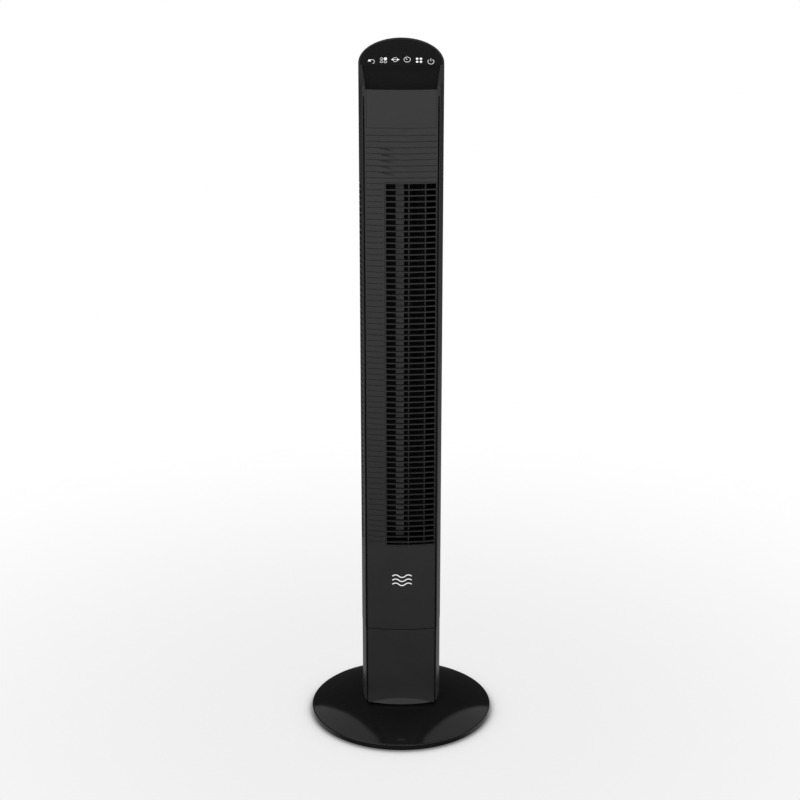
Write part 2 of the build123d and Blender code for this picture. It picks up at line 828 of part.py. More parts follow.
def trough(gap):
    """Space of the scoop between the cheeks, wider at the top and at the back."""
    sections = (
        (-column_front, scoop_front_half, scoop_front_half - scoop_front_lean),
        (fold_y, scoop_back_half, scoop_back_half - scoop_back_lean),
    )
    ends = []
    for y, top_half, low_half in sections:
        face = make_face(
            Polyline(
                (-top_half + gap, 0),
                (top_half - gap, 0),
                (low_half - gap, -cheek_depth - 2),
                (-low_half + gap, -cheek_depth - 2),
                close=True,
            )
        )
        rise = top_middle + y * math.tan(math.radians(top_slope))
        ends.append(Plane(origin=(0, y, rise), x_dir=(1, 0, 0), z_dir=(0, -1, 0)) * face)
    return loft(ends, ruled=True)


def cheeks():
    """Raised edges on both sides of the scoop, sloped towards it."""
    solid = column_solid(0, front_top - 2 * cheek_depth + slip_gap, above_top)
    solid &= block(-wide, wide, -wide, fold_y, 0, tall)
    middle = scoop_front_half - scoop_back_lean
    solid -= block(-middle, middle, -wide, wide, 0, tall)
    behind = rod(front_arc_radius - panel_wall - slip_gap, 0, tall, 0, front_arc_centre)
    gap = panel_half_width + slip_gap
    beside = block(-wide, -gap, -wide, wide, 0, tall) + block(gap, wide, -wide, wide, 0, tall)
    solid &= behind + (beside & rod(front_arc_radius - panel_wall, 0, tall, 0, front_arc_centre))
    solid &= top_slab(-5, cheek_depth)
    return solid - trough(0)


def housing_screws():
    return long_screws(housing_screw_places)


# ---------------------------------------------------------------- controls on top
def touch_panel():
    inset = housing_wall + slip_gap
    plate = column_solid(inset, seam_height, tall) & top_slab(rim_recess, rim_recess + touch_panel_thickness)
    return plate & block(-wide, wide, fold_y + slip_gap / 2, wide, 0, tall)


def scoop():
    """Hollow glossy fascia between the keys and the front panel."""
    slope = math.tan(math.radians(top_slope))
    back = (fold_y - slip_gap / 2, top_middle + fold_y * slope - rim_recess)
    front_y = -column_front
    front = (front_y, front_top - 2 * rim_recess)
    middle_y = (back[0] + front[0]) / 2
    middle = (middle_y, (back[1] + front[1]) / 2 - scoop_sag)
    below = scoop_thickness
    edge = [
        ThreePointArc(front, middle, back),
        Line(back, (back[0], back[1] - below)),
        ThreePointArc(
            (back[0], back[1] - below), (middle[0], middle[1] - below), (front[0], front[1] - below)
        ),
        Line((front[0], front[1] - below), front),
    ]
    sheet = Pos(-wide, 0, 0) * extrude(Plane.YZ * make_face(edge), 2 * wide)
    inside = rod(front_arc_radius - panel_wall - slip_gap, 0, tall, 0, front_arc_centre)
    return sheet & trough(slip_gap / 2) & inside


def tray_section():
    behind = block(-wide, wide, fold_y + 3, wide, 0, tall)
    return column_solid(housing_wall + slip_gap, seam_height, tall) & behind


def control_tray():
    drop = control_board_drop + board_thickness + tray_post_height
    tray = tray_section() & top_slab(drop, drop + tray_thickness)
    inset = housing_wall + slip_gap + tray_thickness
    rim = tray_section() - column_solid(inset, seam_height - 1, tall + 1)
    tray += rim & top_slab(rim_recess + touch_panel_thickness, drop + 1)
    post = Cylinder(screw_head, tray_post_height)
    lift = -drop + tray_post_height / 2
    posts = [top_plane * (Pos(x, y, lift) * post) for x, y in board_posts]
    return tray + posts - board_holes(drop + tray_post_height, drop - tray_post_height)


def board_holes(low, high):
    pilot = Cylinder(screw_pilot, abs(low - high))
    return [top_plane * (Pos(x, y, -(low + high) / 2) * pilot) for x, y in board_posts]


def control_board():
    drop = control_board_drop
    sheet = Box(2 * control_board_half, control_board_depth, board_thickness)
    board = top_plane * (Pos(0, control_board_middle, -drop - board_thickness / 2) * sheet)
    board &= column_solid(housing_wall + 2 * tray_thickness, seam_height, tall)
    holes = [top_plane * (Pos(x, y, -drop) * Cylinder(screw_shank + slip_gap, 9)) for x, y in board_posts]
    chips = [
        top_plane * (Pos(0, 36, -drop + 1) * Box(12, 12, 2)),
        top_plane * (Pos(-26, 30, -drop + 2) * Box(10, 6, 4)),
        top_plane * (Pos(26, 30, -drop + 2) * Box(10, 6, 4)),
    ]
    return board + chips - holes


def key_places():
    return [((i - (key_count - 1) / 2) * key_spacing, key_row_y) for i in range(key_count)]


def touch_springs():
    gap = control_board_drop - rim_recess - touch_panel_thickness
    springs = []
    for x, y in key_places():
        coil = Cylinder(4, gap) - Cylinder(3, gap + 1)
        springs.append(top_plane * (Pos(x, y, -control_board_drop + gap / 2) * coil))
    return group(springs)


def control_board_screws():
    one = screw(board_thickness + 3, 2 * screw_pilot, screw_pilot - screw_gap)
    return group(top_plane * (Pos(x, y, -control_board_drop) * one) for x, y in board_posts)


def display_module():
    mid = front_top - window_height / 2
    half = display_half_width
    height = display_half_height
    board = block(-half, half, display_y, display_y + board_thickness, mid - height, mid + height)
    digits_front = display_y - digit_depth
    digits = block(-height, height - 4, digits_front, display_y, mid - height / 2, mid + height / 2)
    return board + digits


def ir_receiver():
    mid = front_top - window_height / 2
    body = block(22, 28, display_y - 5, display_y, mid - 4, mid + 4)
    return body + Pos(25, display_y - 5, mid) * Sphere(2.2) - block(20, 30, display_y, 0, 0, tall)


# ---------------------------------------------------------------- air path
def scroll_wall(offset):
    """Points of the scroll, which widens from the back of the wheel to the right of the outlet."""
    points = []
    for degrees, gap in ((61, 1.7), (24, 6.7), (-10, 13.6)):
        x, y = polar(blower_radius + gap + offset, degrees)
        points.append((blower_x + x, blower_y + y))
    points.append((panel_half_width - slip_gap + offset, blower_y - blower_radius))
    return points + [(panel_half_width - panel_return + offset, panel_return_back + duct_wall)]


def air_duct():
    inner = scroll_wall(0)
    outer = scroll_wall(duct_wall)
    edge = [Spline(*inner), Line(inner[-1], outer[-1]), Spline(*reversed(outer)), Line(outer[0], inner[0])]
    low = duct_bottom + duct_plate
    high = duct_top - duct_plate
    scroll = prism(make_face(edge), low, high)
    left = grille_left - 2 * slip_gap
    back = tongue_front + tongue_thickness
    wall = block(left - duct_wall, left, duct_front, back + duct_wall, low, high)
    shelf = block(left - duct_wall, tongue_middle, back, back + duct_wall, low, high)
    return group([scroll, wall + shelf])


def duct_tongue():
    ends = (duct_bottom + duct_plate, duct_top - duct_plate)
    strip = block(tongue_left, tongue_right, tongue_front, tongue_front + tongue_thickness, *ends)
    edge = strip.edges().filter_by(Axis.Z).group_by(Axis.X)[-1].sort_by(Axis.Y)[0]
    return fillet(edge, 0.8 * tongue_thickness)


def duct_end(low, bore):
    """Plate across the column above or below the wheel."""
    plate = column_solid(housing_wall + intake_rib_depth + slip_gap, low, low + duct_plate)
    plate -= block(-wide, wide, -wide, duct_front, 0, tall)
    corner = panel_half_width - panel_return - slip_gap
    for side in (-1, 1):
        notch = (side * corner, side * wide)
        plate -= block(min(notch), max(notch), -wide, panel_return_back + slip_gap, 0, tall)
    return plate - rod(bore, 0, tall, blower_x, blower_y)


def duct_bottom_plate():
    plate = duct_end(duct_bottom, hub_radius + panel_wall)
    return plate - [rod(screw_shank + slip_gap, 0, tall, blower_x + x, blower_y + y) for x, y in motor_ears]


def duct_top_plate():
    return duct_end(duct_top - duct_plate, top_rubber_radius + running_gap)


def top_bearing_rubber():
    low = duct_top - duct_plate - top_flange_height
    flange_radius = top_rubber_radius + top_rubber_flange
    flange = rod(flange_radius, low, duct_top - duct_plate, blower_x, blower_y)
    body = rod(top_rubber_radius, low, top_bush_top + 1, blower_x, blower_y)
    return flange + body - rod(top_bush_radius, low - 1, tall, blower_x, blower_y)


def top_bearing_bush():
    low = duct_top - duct_plate - top_flange_height
    bush = rod(top_bush_radius, low, top_bush_top, blower_x, blower_y)
    return bush - rod(top_pin_radius + running_gap, low - 1, top_bush_top - 1, blower_x, blower_y)


# ---------------------------------------------------------------- blower
def blower_wheel():
    """Cross-flow wheel: curved blades between rings."""
    inner = blower_radius - blade_depth
    outer = blower_radius - blade_thickness / 3
    sweep = blade_sweep
    mid_r = (inner + outer) / 2
    x0, y0 = polar(inner, 0)
    x1, y1 = polar(mid_r, sweep * 0.75)
    x2, y2 = polar(outer, sweep)
    spread = math.degrees(blade_thickness / mid_r)
    arc = ThreePointArc((x0, y0), (x1, y1), (x2, y2))
    back_middle = polar(mid_r, sweep * 0.75 + spread)
    back = ThreePointArc(polar(outer, sweep + spread), back_middle, polar(inner, spread))
    face = make_face([arc, Line(arc @ 1, back @ 0), back, Line(back @ 1, arc @ 0)])
    blade = prism(face, wheel_bottom, wheel_top)
    blades = [Rot(0, 0, 360.0 * i / blade_count) * blade for i in range(blade_count)]
    pitch = (wheel_top - wheel_bottom - blower_disc_thickness) / (blower_disc_count - 1)
    discs = []
    for i in range(blower_disc_count):
        low = wheel_bottom + pitch * i
        bore = inner - blade_thickness
        if i == 0:
            bore = hub_radius - hub_rim
        if i == blower_disc_count - 1:
            bore = top_pin_radius
        discs.append(tube(blower_radius, bore, low, low + blower_disc_thickness))
    return Pos(blower_x, blower_y, 0) * (discs[0] + (discs[1:] + blades))


def blower_hub():
    """Rubber-cored hub that clamps the wheel on the motor shaft."""
    hub = rod(hub_radius, wheel_bottom - 2 * hub_rim, wheel_bottom)
    hub += rod(hub_radius - hub_rim, wheel_bottom, wheel_bottom + hub_depth)
    hub -= rod(motor_shaft_radius, 0, tall)
    bore = Rot(0, 90, 0) * Pos(0, 0, hub_radius) * Cylinder(set_screw_radius + running_gap, 2 * hub_radius)
    return Pos(blower_x, blower_y, 0) * (hub - Pos(0, 0, wheel_bottom + set_screw_height) * bore)


def hub_set_screw():
    start = motor_shaft_radius + running_gap
    length = hub_radius - hub_rim - start
    pin = Rot(0, 90, 0) * Pos(0, 0, start + length / 2) * Cylinder(set_screw_radius, length)
    return Pos(blower_x, blower_y, wheel_bottom + set_screw_height) * pin


def top_pin():
    low = wheel_top - blower_disc_thickness
    pin = rod(top_pin_radius, low, duct_top + duct_overlap) + rod(top_pin_head, low - 1.5, low)
    return Pos(blower_x, blower_y, 0) * pin


def motor_shaft():
    shaft_top = wheel_bottom + hub_depth - 1
    return rod(motor_shaft_radius, motor_bottom + bearing_height, shaft_top, blower_x, blower_y)


def motor_rotor():
    mid = motor_bottom + motor_height / 2
    half = stator_height / 2
    core = tube(rotor_radius, motor_shaft_radius, mid - half, mid + half)
    fin = block(rotor_radius / 2, rotor_radius - 3, -0.8, 0.8, mid + half, mid + half + winding_height - 2)
    fan = [Rot(0, 0, 360 * i / motor_slot_count) * fin for i in range(motor_slot_count)]
    return Pos(blower_x, blower_y, 0) * (core + fan)


def motor_stator():
    mid = motor_bottom + motor_height / 2
    half = stator_height / 2
    core = tube(stator_radius, rotor_radius + 0.5, mid - half, mid + half)
    slot = block(rotor_radius + 3, stator_radius - 4, -2.5, 2.5, mid - half - 1, mid + half + 1)
    slot += block(rotor_radius - 1, rotor_radius + 4, -0.9, 0.9, mid - half - 1, mid + half + 1)
    slots = [Rot(0, 0, 360 * i / motor_slot_count) * slot for i in range(motor_slot_count)]
    return Pos(blower_x, blower_y, 0) * (core - slots)


def motor_windings():
    mid = motor_bottom + motor_height / 2
    half = stator_height / 2
    coils = []
    for low, high in ((mid + half, mid + half + winding_height), (mid - half - winding_height, mid - half)):
        ring = tube(stator_radius - 3.5, rotor_radius + 4, low, high)
        coils.append(Pos(blower_x, blower_y, 0) * ring)
    return group(coils)


def motor_shell(low, high, closed_low):
    wall = motor_wall
    outer = rod(motor_radius, low, high)
    ends = outer.edges().filter_by(GeomType.CIRCLE).sort_by(Axis.Z)
    outer = fillet(ends[0] if closed_low else ends[-1], motor_end_round)
    seat_radius = motor_bearing_radius + bearing_seat_wall
    if closed_low:
        inner = rod(stator_radius + running_gap, low + wall, high + 1)
        seat = rod(seat_radius, low + 1, low + 2 * wall + bearing_height)
        bore = rod(motor_bearing_radius, low + 2 * wall, tall)
    else:
        inner = rod(stator_radius + running_gap, low - 1, high - wall)
        seat = rod(seat_radius, high - 2 * wall - bearing_height, high - 1)
        bore = rod(motor_bearing_radius, 0, high - wall)
    shell = outer - inner + seat - bore
    vent = Pos((seat_radius + stator_radius) / 2, 0, low if closed_low else high) * Box(10, 4, 4 * wall)
    shell -= [Rot(0, 0, 360 * i / motor_vent_count) * vent for i in range(motor_vent_count)]
    if not closed_low:
        shell -= rod(motor_shaft_radius + 1, 0, tall)
    return shell


def motor_lower_shell():
    shell = motor_shell(motor_bottom, motor_bottom + motor_height / 2, True)
    return Pos(blower_x, blower_y, 0) * shell


def motor_upper_shell():
    shell = motor_shell(motor_bottom + motor_height / 2, motor_top, False)
    ears = [rod(motor_ear_radius, motor_top - 1, motor_ear_top, x, y) for x, y in motor_ears]
    pilots = [rod(long_screw_pilot, motor_top - 3, tall, x, y) for x, y in motor_ears]
    return Pos(blower_x, blower_y, 0) * (shell + ears - pilots)


def motor_bearings():
    low = motor_bottom + 2 * motor_wall
    high = motor_top - motor_wall
    bore = motor_shaft_radius + running_gap
    ends = ((low, low + bearing_height), (high - bearing_height - motor_wall, high))
    return group(tube(motor_bearing_radius, bore, start, end, blower_x, blower_y) for start, end in ends)


def motor_mount_rubbers():
    bore = screw_shank + slip_gap
    pads = [tube(motor_pad_radius, bore, motor_ear_top, duct_bottom, x, y) for x, y in motor_ears]
    return group(Pos(blower_x, blower_y, 0) * pad for pad in pads)


def motor_screws():
    one = screw(duct_bottom + duct_plate - motor_top + 1.5)
    return group(Pos(blower_x + x, blower_y + y, duct_bottom + duct_plate) * one for x, y in motor_ears)


# ---------------------------------------------------------------- power electronics
def power_board():
    y = power_board_y
    back = y + board_thickness
    half = power_board_half_width
    low = body_bottom + power_board_lift
    board = block(-half, half, y, back, low, low + power_board_height)
    parts = [
        block(-30, -6, back, y + 18, low + 18, low + 44),
        block(6, 22, back, y + 14, low + 12, low + 24),
        rod_y(5, back, y + 16, 24, low + 38),
        block(-34, 34, y - 9, y, low + 6, low + 14),
    ]
    holes = [rod_y(screw_shank + slip_gap, y - 5, y + 5, x, z) for x, z in power_board_places()]
    return board + parts - holes


def power_board_places():
    """Screws near the corners of the power board."""
    x = power_board_half_width - screw_boss_radius
    low = body_bottom + power_board_lift + screw_boss_radius
    high = low + power_board_height - 2 * screw_boss_radius
    return [(side * x, z) for z in (low, high) for side in (-1, 1)]


def power_board_screws():
    one = Rot(-90, 0, 0) * screw(2 * screw_boss_radius)
    return group(Pos(x, power_board_y + board_thickness, z) * one for x, z in power_board_places())


def motor_capacitor():
    inner = housing_wall + 8 - column_half_width
    low = body_bottom + power_board_lift + 8
    body = block(inner, inner + capacitor_width, -10, 8, low, low + capacitor_height)
    return fillet(body.edges().filter_by(Axis.Z), 2)


# ---------------------------------------------------------------- pieces to write
pieces = [
    base_cover, base_bottom_plate, rubber_feet, base_weight_plate, base_screws, cable_gland,
    pivot_post, pivot_post_screws, swing_ring_gear, thrust_washer, retaining_plate, retaining_screws,
    swing_bush, swing_plate, swing_plate_screws, swing_pinion, swing_motor_spindle, swing_motor,
    swing_motor_screws, lower_front_cover, lower_rear_cover, lower_cover_screws, column_joint_screws,
    front_panel, display_window, outlet_grille, rear_housing, housing_screws, touch_panel, scoop,
    control_tray, control_board, touch_springs, control_board_screws, display_module, ir_receiver,
    air_duct, duct_tongue, duct_bottom_plate, duct_top_plate, top_bearing_rubber, top_bearing_bush,
    blower_wheel, blower_hub, hub_set_screw, top_pin, motor_shaft, motor_rotor, motor_stator,
    motor_windings, motor_lower_shell, motor_upper_shell, motor_bearings, motor_mount_rubbers,
    motor_screws, power_board, power_board_screws, motor_capacitor,
]

os.makedirs("parts", exist_ok=True)
for piece in pieces:
    save(piece.__name__, piece())
    print(piece.__name__, flush=True)
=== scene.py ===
"""Tower fan: finishes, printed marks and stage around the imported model."""

import math

import bmesh
import bpy
from bpy.props import FloatProperty, FloatVectorProperty, PointerProperty
from mathutils import Matrix, Vector
from mathutils.bvhtree import BVHTree


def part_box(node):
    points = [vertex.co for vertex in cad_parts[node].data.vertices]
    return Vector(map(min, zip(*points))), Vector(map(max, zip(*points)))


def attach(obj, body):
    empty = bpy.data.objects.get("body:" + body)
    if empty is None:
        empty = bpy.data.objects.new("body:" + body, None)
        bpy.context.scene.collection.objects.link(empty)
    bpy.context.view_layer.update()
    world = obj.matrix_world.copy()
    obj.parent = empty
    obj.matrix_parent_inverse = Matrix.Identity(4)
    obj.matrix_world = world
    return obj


bl_info = {
    "name": "Tower fan looks",
    "version": (1, 0, 0),
    "blender": (4, 5, 0),
    "location": "View3D > Sidebar > Tower fan",
    "description": "Finishes, printed marks and a plain stage for a tower fan",
    "category": "Object",
}

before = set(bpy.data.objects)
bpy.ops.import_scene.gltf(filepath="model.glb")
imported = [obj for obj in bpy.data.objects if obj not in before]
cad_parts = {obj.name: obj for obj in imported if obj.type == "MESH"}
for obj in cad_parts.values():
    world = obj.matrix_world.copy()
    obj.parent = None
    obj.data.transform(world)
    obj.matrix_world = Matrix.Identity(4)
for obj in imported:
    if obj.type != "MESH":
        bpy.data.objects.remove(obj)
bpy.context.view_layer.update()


# ---------------------------------------------------------------- sizes and colours
class FanFinish(bpy.types.PropertyGroup):
    """Colours and grain of the fan's materials."""

    front_colour: FloatVectorProperty(
        name="Front colour", description="Satin black of the front covers", subtype="COLOR", size=3,
        default=(0.0165, 0.0165, 0.0170), min=0, max=1,
    )
    housing_colour: FloatVectorProperty(
        name="Housing colour", description="Satin black of the back and sides", subtype="COLOR", size=3,
        default=(0.027, 0.027, 0.0275), min=0, max=1,
    )
    gloss_colour: FloatVectorProperty(
        name="Gloss colour", description="Piano black of base and fascia", subtype="COLOR", size=3,
        default=(0.0115, 0.0115, 0.0120), min=0, max=1,
    )
    grain_size: FloatProperty(
        name="Grain size", description="Size of the spark-eroded grain on satin mouldings",
        subtype="DISTANCE", unit="LENGTH", default=0.0005, min=0.0001,
    )
    edge_radius: FloatProperty(
        name="Edge radius", description="Rounding that catches light along moulded edges",
        subtype="DISTANCE", unit="LENGTH", default=0.0006, min=0,
    )


class FanMarks(bpy.types.PropertyGroup):
    """Sizes, places and ink of the printed marks."""

    key_width: FloatProperty(
        name="Key mark width", description="Width of one key mark", subtype="DISTANCE", unit="LENGTH",
        default=0.0122, min=0.001,
    )
    key_stretch: FloatProperty(
        name="Key mark stretch", description="How much longer the key marks are up the slope",
        default=1.2, min=0.5,
    )
    key_spacing: FloatProperty(
        name="Key spacing", description="Middle of one key to the next", subtype="DISTANCE",
        unit="LENGTH", default=0.019, min=0.001,
    )
    key_setback: FloatProperty(
        name="Key setback", description="Middle of the key row behind the touch panel's front edge",
        subtype="DISTANCE", unit="LENGTH", default=0.0133, min=0,
    )
    key_bow: FloatProperty(
        name="Key bow", description="How strongly the ends of the key row come forward, per metre",
        default=2.35,
    )
    line_width: FloatProperty(
        name="Line width", description="Width of the printed lines", subtype="DISTANCE", unit="LENGTH",
        default=0.0007, min=0.0001,
    )
    badge_width: FloatProperty(
        name="Badge width", description="Width of the breeze badge", subtype="DISTANCE", unit="LENGTH",
        default=0.038, min=0.001,
    )
    badge_height: FloatProperty(
        name="Badge height", description="Middle of the badge above the front panel's lower edge",
        subtype="DISTANCE", unit="LENGTH", default=0.0925, min=0,
    )
    badge_offset: FloatProperty(
        name="Badge offset", description="Middle of the badge right of the fan's middle",
        subtype="DISTANCE", unit="LENGTH", default=0.0015,
    )
    badge_line: FloatProperty(
        name="Badge line", description="Line width of the badge as a share of its width", default=0.045,
        min=0.01,
    )
    ink_height: FloatProperty(
        name="Ink height", description="How far the ink stands off the surface", subtype="DISTANCE",
        unit="LENGTH", default=0.00015, min=0,
    )
    ink_colour: FloatVectorProperty(
        name="Ink colour", description="Pale ink of the marks", subtype="COLOR", size=3,
        default=(0.80, 0.80, 0.80), min=0, max=1,
    )


class FanStage(bpy.types.PropertyGroup):
    """Camera, floor and pale wall."""

    lens: FloatProperty(
        name="Lens", description="Focal length for the sensor below", subtype="DISTANCE_CAMERA",
        default=72.12, min=10,
    )
    sensor: FloatProperty(
        name="Sensor", description="Width of the camera's sensor", subtype="DISTANCE_CAMERA", default=36.0,
        min=1,
    )
    pitch: FloatProperty(
        name="Pitch", description="How far the camera looks down", subtype="ANGLE", unit="ROTATION",
        default=math.radians(17.19),
    )
    camera_distance: FloatProperty(
        name="Camera distance", description="Camera to the middle of the base along the floor",
        subtype="DISTANCE", unit="LENGTH", default=2.609,
    )
    camera_height: FloatProperty(
        name="Camera height", description="Camera above the floor", subtype="DISTANCE", unit="LENGTH",
        default=1.388,
    )
    camera_offset: FloatProperty(
        name="Camera offset", description="Camera right of the fan's middle", subtype="DISTANCE",
        unit="LENGTH", default=-0.002,
    )
    floor_glow: FloatProperty(
        name="Floor glow", description="Brightness of the pale floor near the fan", default=0.86, min=0,
    )
    wall_distance: FloatProperty(
        name="Wall distance", description="Middle of the base to the pale wall", subtype="DISTANCE",
        unit="LENGTH", default=40.0, min=1,
    )


# Soft lamps, with places and sizes in metres and power in watts.
LAMPS = {
    "lamp_front": {
        "place": (-0.3, -0.9, 1.9), "target": (0.0, 0.0, 1.0), "width": 0.9, "height": 0.5, "power": 4.5,
    },
    "lamp_top": {
        "place": (0.0, 0.5, 3.0), "target": (0.0, 0.0, 0.6), "width": 2.0, "height": 1.2, "power": 14.0,
    },
}

# Brightness of the studio that the gloss mirrors.
STUDIO_GLOW = {"dark": 0.03, "side_boxes": 0.42, "front": 0.88, "below": 0.42}

# How far aside the inner edges of the side boxes are for each step back.
BOX_SLANT = 0.47

# The floor grows from its own glow to white between these distances from the fan, in metres.
PALE_RING = (0.15, 1.6)

# Shadows on the floor: how far they reach in metres, the cover at which they are full, their strength.
FLOOR_SHADOWS = ((0.05, 0.5, 0.75), (0.5, 1.0, 0.12))

# Corners round the floor and the backdrop, and how far the camera sees in metres.
STAGE_SEGMENTS = 96
CAMERA_REACH = 200.0

BLACK = (0.0, 0.0, 0.0, 1.0)
WHITE = (1.0, 1.0, 1.0, 1.0)


# ---------------------------------------------------------------- shader helpers
class Wire:
    """A shader socket that takes part in Python sums."""

    def __init__(self, finish, socket):
        self.finish = finish
        self.socket = socket

    def _maths(self, operation, *values):
        """Math node on these values, as a new wire."""
        sockets = dict(enumerate(values))
        node = self.finish.node("ShaderNodeMath", {"operation": operation}, sockets)
        return Wire(self.finish, node.outputs[0])

    def __add__(self, other):
        return self._maths("ADD", self, other)

    def __sub__(self, other):
        return self._maths("SUBTRACT", self, other)

    def __rsub__(self, other):
        return self._maths("SUBTRACT", other, self)

    def __mul__(self, other):
        return self._maths("MULTIPLY", self, other)

    def __truediv__(self, other):
        return self._maths("DIVIDE", self, other)

    def __rtruediv__(self, other):
        return self._maths("DIVIDE", other, self)

    def __pow__(self, other):
        return self._maths("POWER", self, other)

    def __rpow__(self, other):
        return self._maths("POWER", other, self)

    def __abs__(self):
        return self._maths("ABSOLUTE", self)

    __radd__ = __add__
    __rmul__ = __mul__

    def zigzag(self, length):
        """Up from 0 to 1 over a length and down again over the next, without end."""
        return self._maths("PINGPONG", self, length) / length

    def ramp(self, low, high):
        """Smooth step from 0 at low to 1 at high."""
        node = self.finish.node(
            "ShaderNodeMapRange", {"interpolation_type": "SMOOTHSTEP"},
            {"Value": self, "From Min": low, "From Max": high},
        )
        return Wire(self.finish, node.outputs["Result"])


class Finish:
    """One material, or the nodes of another tree, such as a world's."""

    def __init__(self, name, tree=None):
        self.material = None
        if tree is None:
            self.material = bpy.data.materials.new(name)
            self.material.use_nodes = True
            tree = self.material.node_tree
        self.tree = tree
        self.tree.nodes.clear()

    def node(self, kind, settings=None, sockets=None):
        """A node with its settings first and then its sockets."""
        made = self.tree.nodes.new(kind)
        for key, value in (settings or {}).items():
            setattr(made, key, value)
        for key, value in (sockets or {}).items():
            self.plug(made.inputs[key], value)
        return made

    def plug(self, socket, value):
        """Links a wire or a socket, or sets a plain value."""
        if isinstance(value, Wire):
            self.tree.links.new(value.socket, socket)
        elif isinstance(value, bpy.types.NodeSocket):
            self.tree.links.new(value, socket)
        else:
            socket.default_value = value

    def place(self):
        """Point of the surface in metres."""
        return self.node("ShaderNodeTexCoord").outputs["Object"]

    def axes(self, vector):
        """X, Y and Z of a vector."""
        split = self.node("ShaderNodeSeparateXYZ", None, {"Vector": vector})
        return [Wire(self, split.outputs[axis]) for axis in "XYZ"]

    def cover(self, reach, samples):
        """How far something close by covers the surface, from 0 in the open to 1."""
        near = self.node("ShaderNodeAmbientOcclusion", {"samples": samples}, {"Distance": reach})
        return 1.0 - Wire(self, near.outputs["AO"])

    def noise(self, size, detail, roughness, where=None):
        """Noise with features of a given size in metres, from 0 to 1."""
        made = self.node(
            "ShaderNodeTexNoise", {"noise_dimensions": "3D"},
            {
                "Vector": where or self.place(), "Scale": 1.0 / size, "Detail": detail,
                "Roughness": roughness,
            },
        )
        return Wire(self, made.outputs["Fac"])

    def mix(self, factor, first, second):
        """The first colour at 0 and the second at 1."""
        sockets = {"Factor": factor, "A": first, "B": second}
        return self.node("ShaderNodeMix", {"data_type": "RGBA"}, sockets).outputs["Result"]

    def surface(self, **sockets):
        """Principled shader to the output. Socket names are written with underscores."""
        shader = self.node("ShaderNodeBsdfPrincipled")
        for key, value in sockets.items():
            self.plug(shader.inputs[key.replace("_", " ")], value)
        self.node("ShaderNodeOutputMaterial", None, {"Surface": shader.outputs["BSDF"]})

    def bump(self, height, depth, under=None):
        """Relief of a depth in metres, on top of another normal where there is one."""
        sockets = {"Height": height, "Strength": 1.0, "Distance": depth}
        if under is not None:
            sockets["Normal"] = under
        return self.node("ShaderNodeBump", None, sockets).outputs["Normal"]

    def soft_edge(self, radius):
        """Normal that rounds the edges."""
        return self.node("ShaderNodeBevel", {"samples": 4}, {"Radius": radius}).outputs["Normal"]


def shade(colour, factor):
    """Colour made lighter or darker, with its alpha of 1."""
    return tuple(channel * factor for channel in colour) + (1.0,)


# ---------------------------------------------------------------- materials
DUST_COLOUR = (0.10, 0.10, 0.10)


def satin_plastic(name, colour, finish, roughness, shine=0.3, edge=True, painted_shade_reach=0.0):
    """Moulded ABS with a spark-eroded grain, slight cloudiness and painted shade that darkens its grooves
    and hollows.
    """
    f = Finish(name)
    grain = f.noise(finish.grain_size, detail=3.0, roughness=0.6)
    cloud = f.noise(size=0.06, detail=3.0, roughness=0.55)
    tone = f.mix(cloud.ramp(0.3, 0.7), shade(colour, 0.94), shade(colour, 1.06))
    tone = f.mix(grain.ramp(0.25, 0.8) * 0.5, tone, shade(colour, 1.18))
    rough = roughness + (cloud - 0.5) * 0.08 + (grain - 0.5) * 0.10
    # Painted shade: ambient occlusion darkens the colour almost to black in grooves, hollows and gaps, and
    # makes them rougher.
    if painted_shade_reach:
        dust_and_painted_shade = f.cover(painted_shade_reach, samples=6).ramp(0.4, 0.85)
        tone = f.mix(dust_and_painted_shade, tone, shade(colour, 0.05))
        rough = rough + dust_and_painted_shade * 0.5
    under = f.soft_edge(finish.edge_radius) if edge else None
    f.surface(
        Base_Color=tone,
        Roughness=rough,
        IOR=1.5,
        Specular_IOR_Level=shine,
        Normal=f.bump(grain, depth=0.00005, under=under),
    )
    return f.material


def piano_plastic(name, colour, finish):
    """Polished black plastic: mirror gloss with faint moulding flow and hairline rubs."""
    f = Finish(name)
    flow = f.noise(size=0.11, detail=2.0, roughness=0.4)
    rubs = f.noise(size=0.0009, detail=4.0, roughness=0.7)
    dust_and_painted_shade = f.noise(size=0.0022, detail=5.0, roughness=0.75).ramp(0.66, 0.74)
    f.surface(
        Base_Color=f.mix(dust_and_painted_shade * 0.10, shade(colour, 1.0), shade(DUST_COLOUR, 1.0)),
        Roughness=0.06 + rubs * 0.03 + dust_and_painted_shade * 0.10,
        IOR=1.5,
        Normal=f.bump(flow, depth=0.0004, under=f.soft_edge(finish.edge_radius)),
    )
    return f.material


def plain_plastic(name, colour, roughness, shine=0.5):
    """Unpolished inner moulding with faint flow lines."""
    f = Finish(name)
    cloud = f.noise(size=0.03, detail=3.0, roughness=0.6)
    grain = f.noise(size=0.0008, detail=3.0, roughness=0.6)
    f.surface(
        Base_Color=f.mix(cloud, shade(colour, 0.85), shade(colour, 1.15)),
        Roughness=roughness + (grain - 0.5) * 0.16,
        Specular_IOR_Level=shine,
        Normal=f.bump(grain, depth=0.00004),
    )
    return f.material


def soft_rubber(name, colour):
    """Dull rubber with a pale bloom in places."""
    f = Finish(name)
    grain = f.noise(size=0.0006, detail=4.0, roughness=0.65)
    bloom = f.noise(size=0.02, detail=3.0, roughness=0.6)
    f.surface(
        Base_Color=f.mix(bloom, shade(colour, 0.8), shade(colour, 1.5)),
        Roughness=0.78 + (grain - 0.5) * 0.2,
        Normal=f.bump(grain, depth=0.00008),
    )
    return f.material


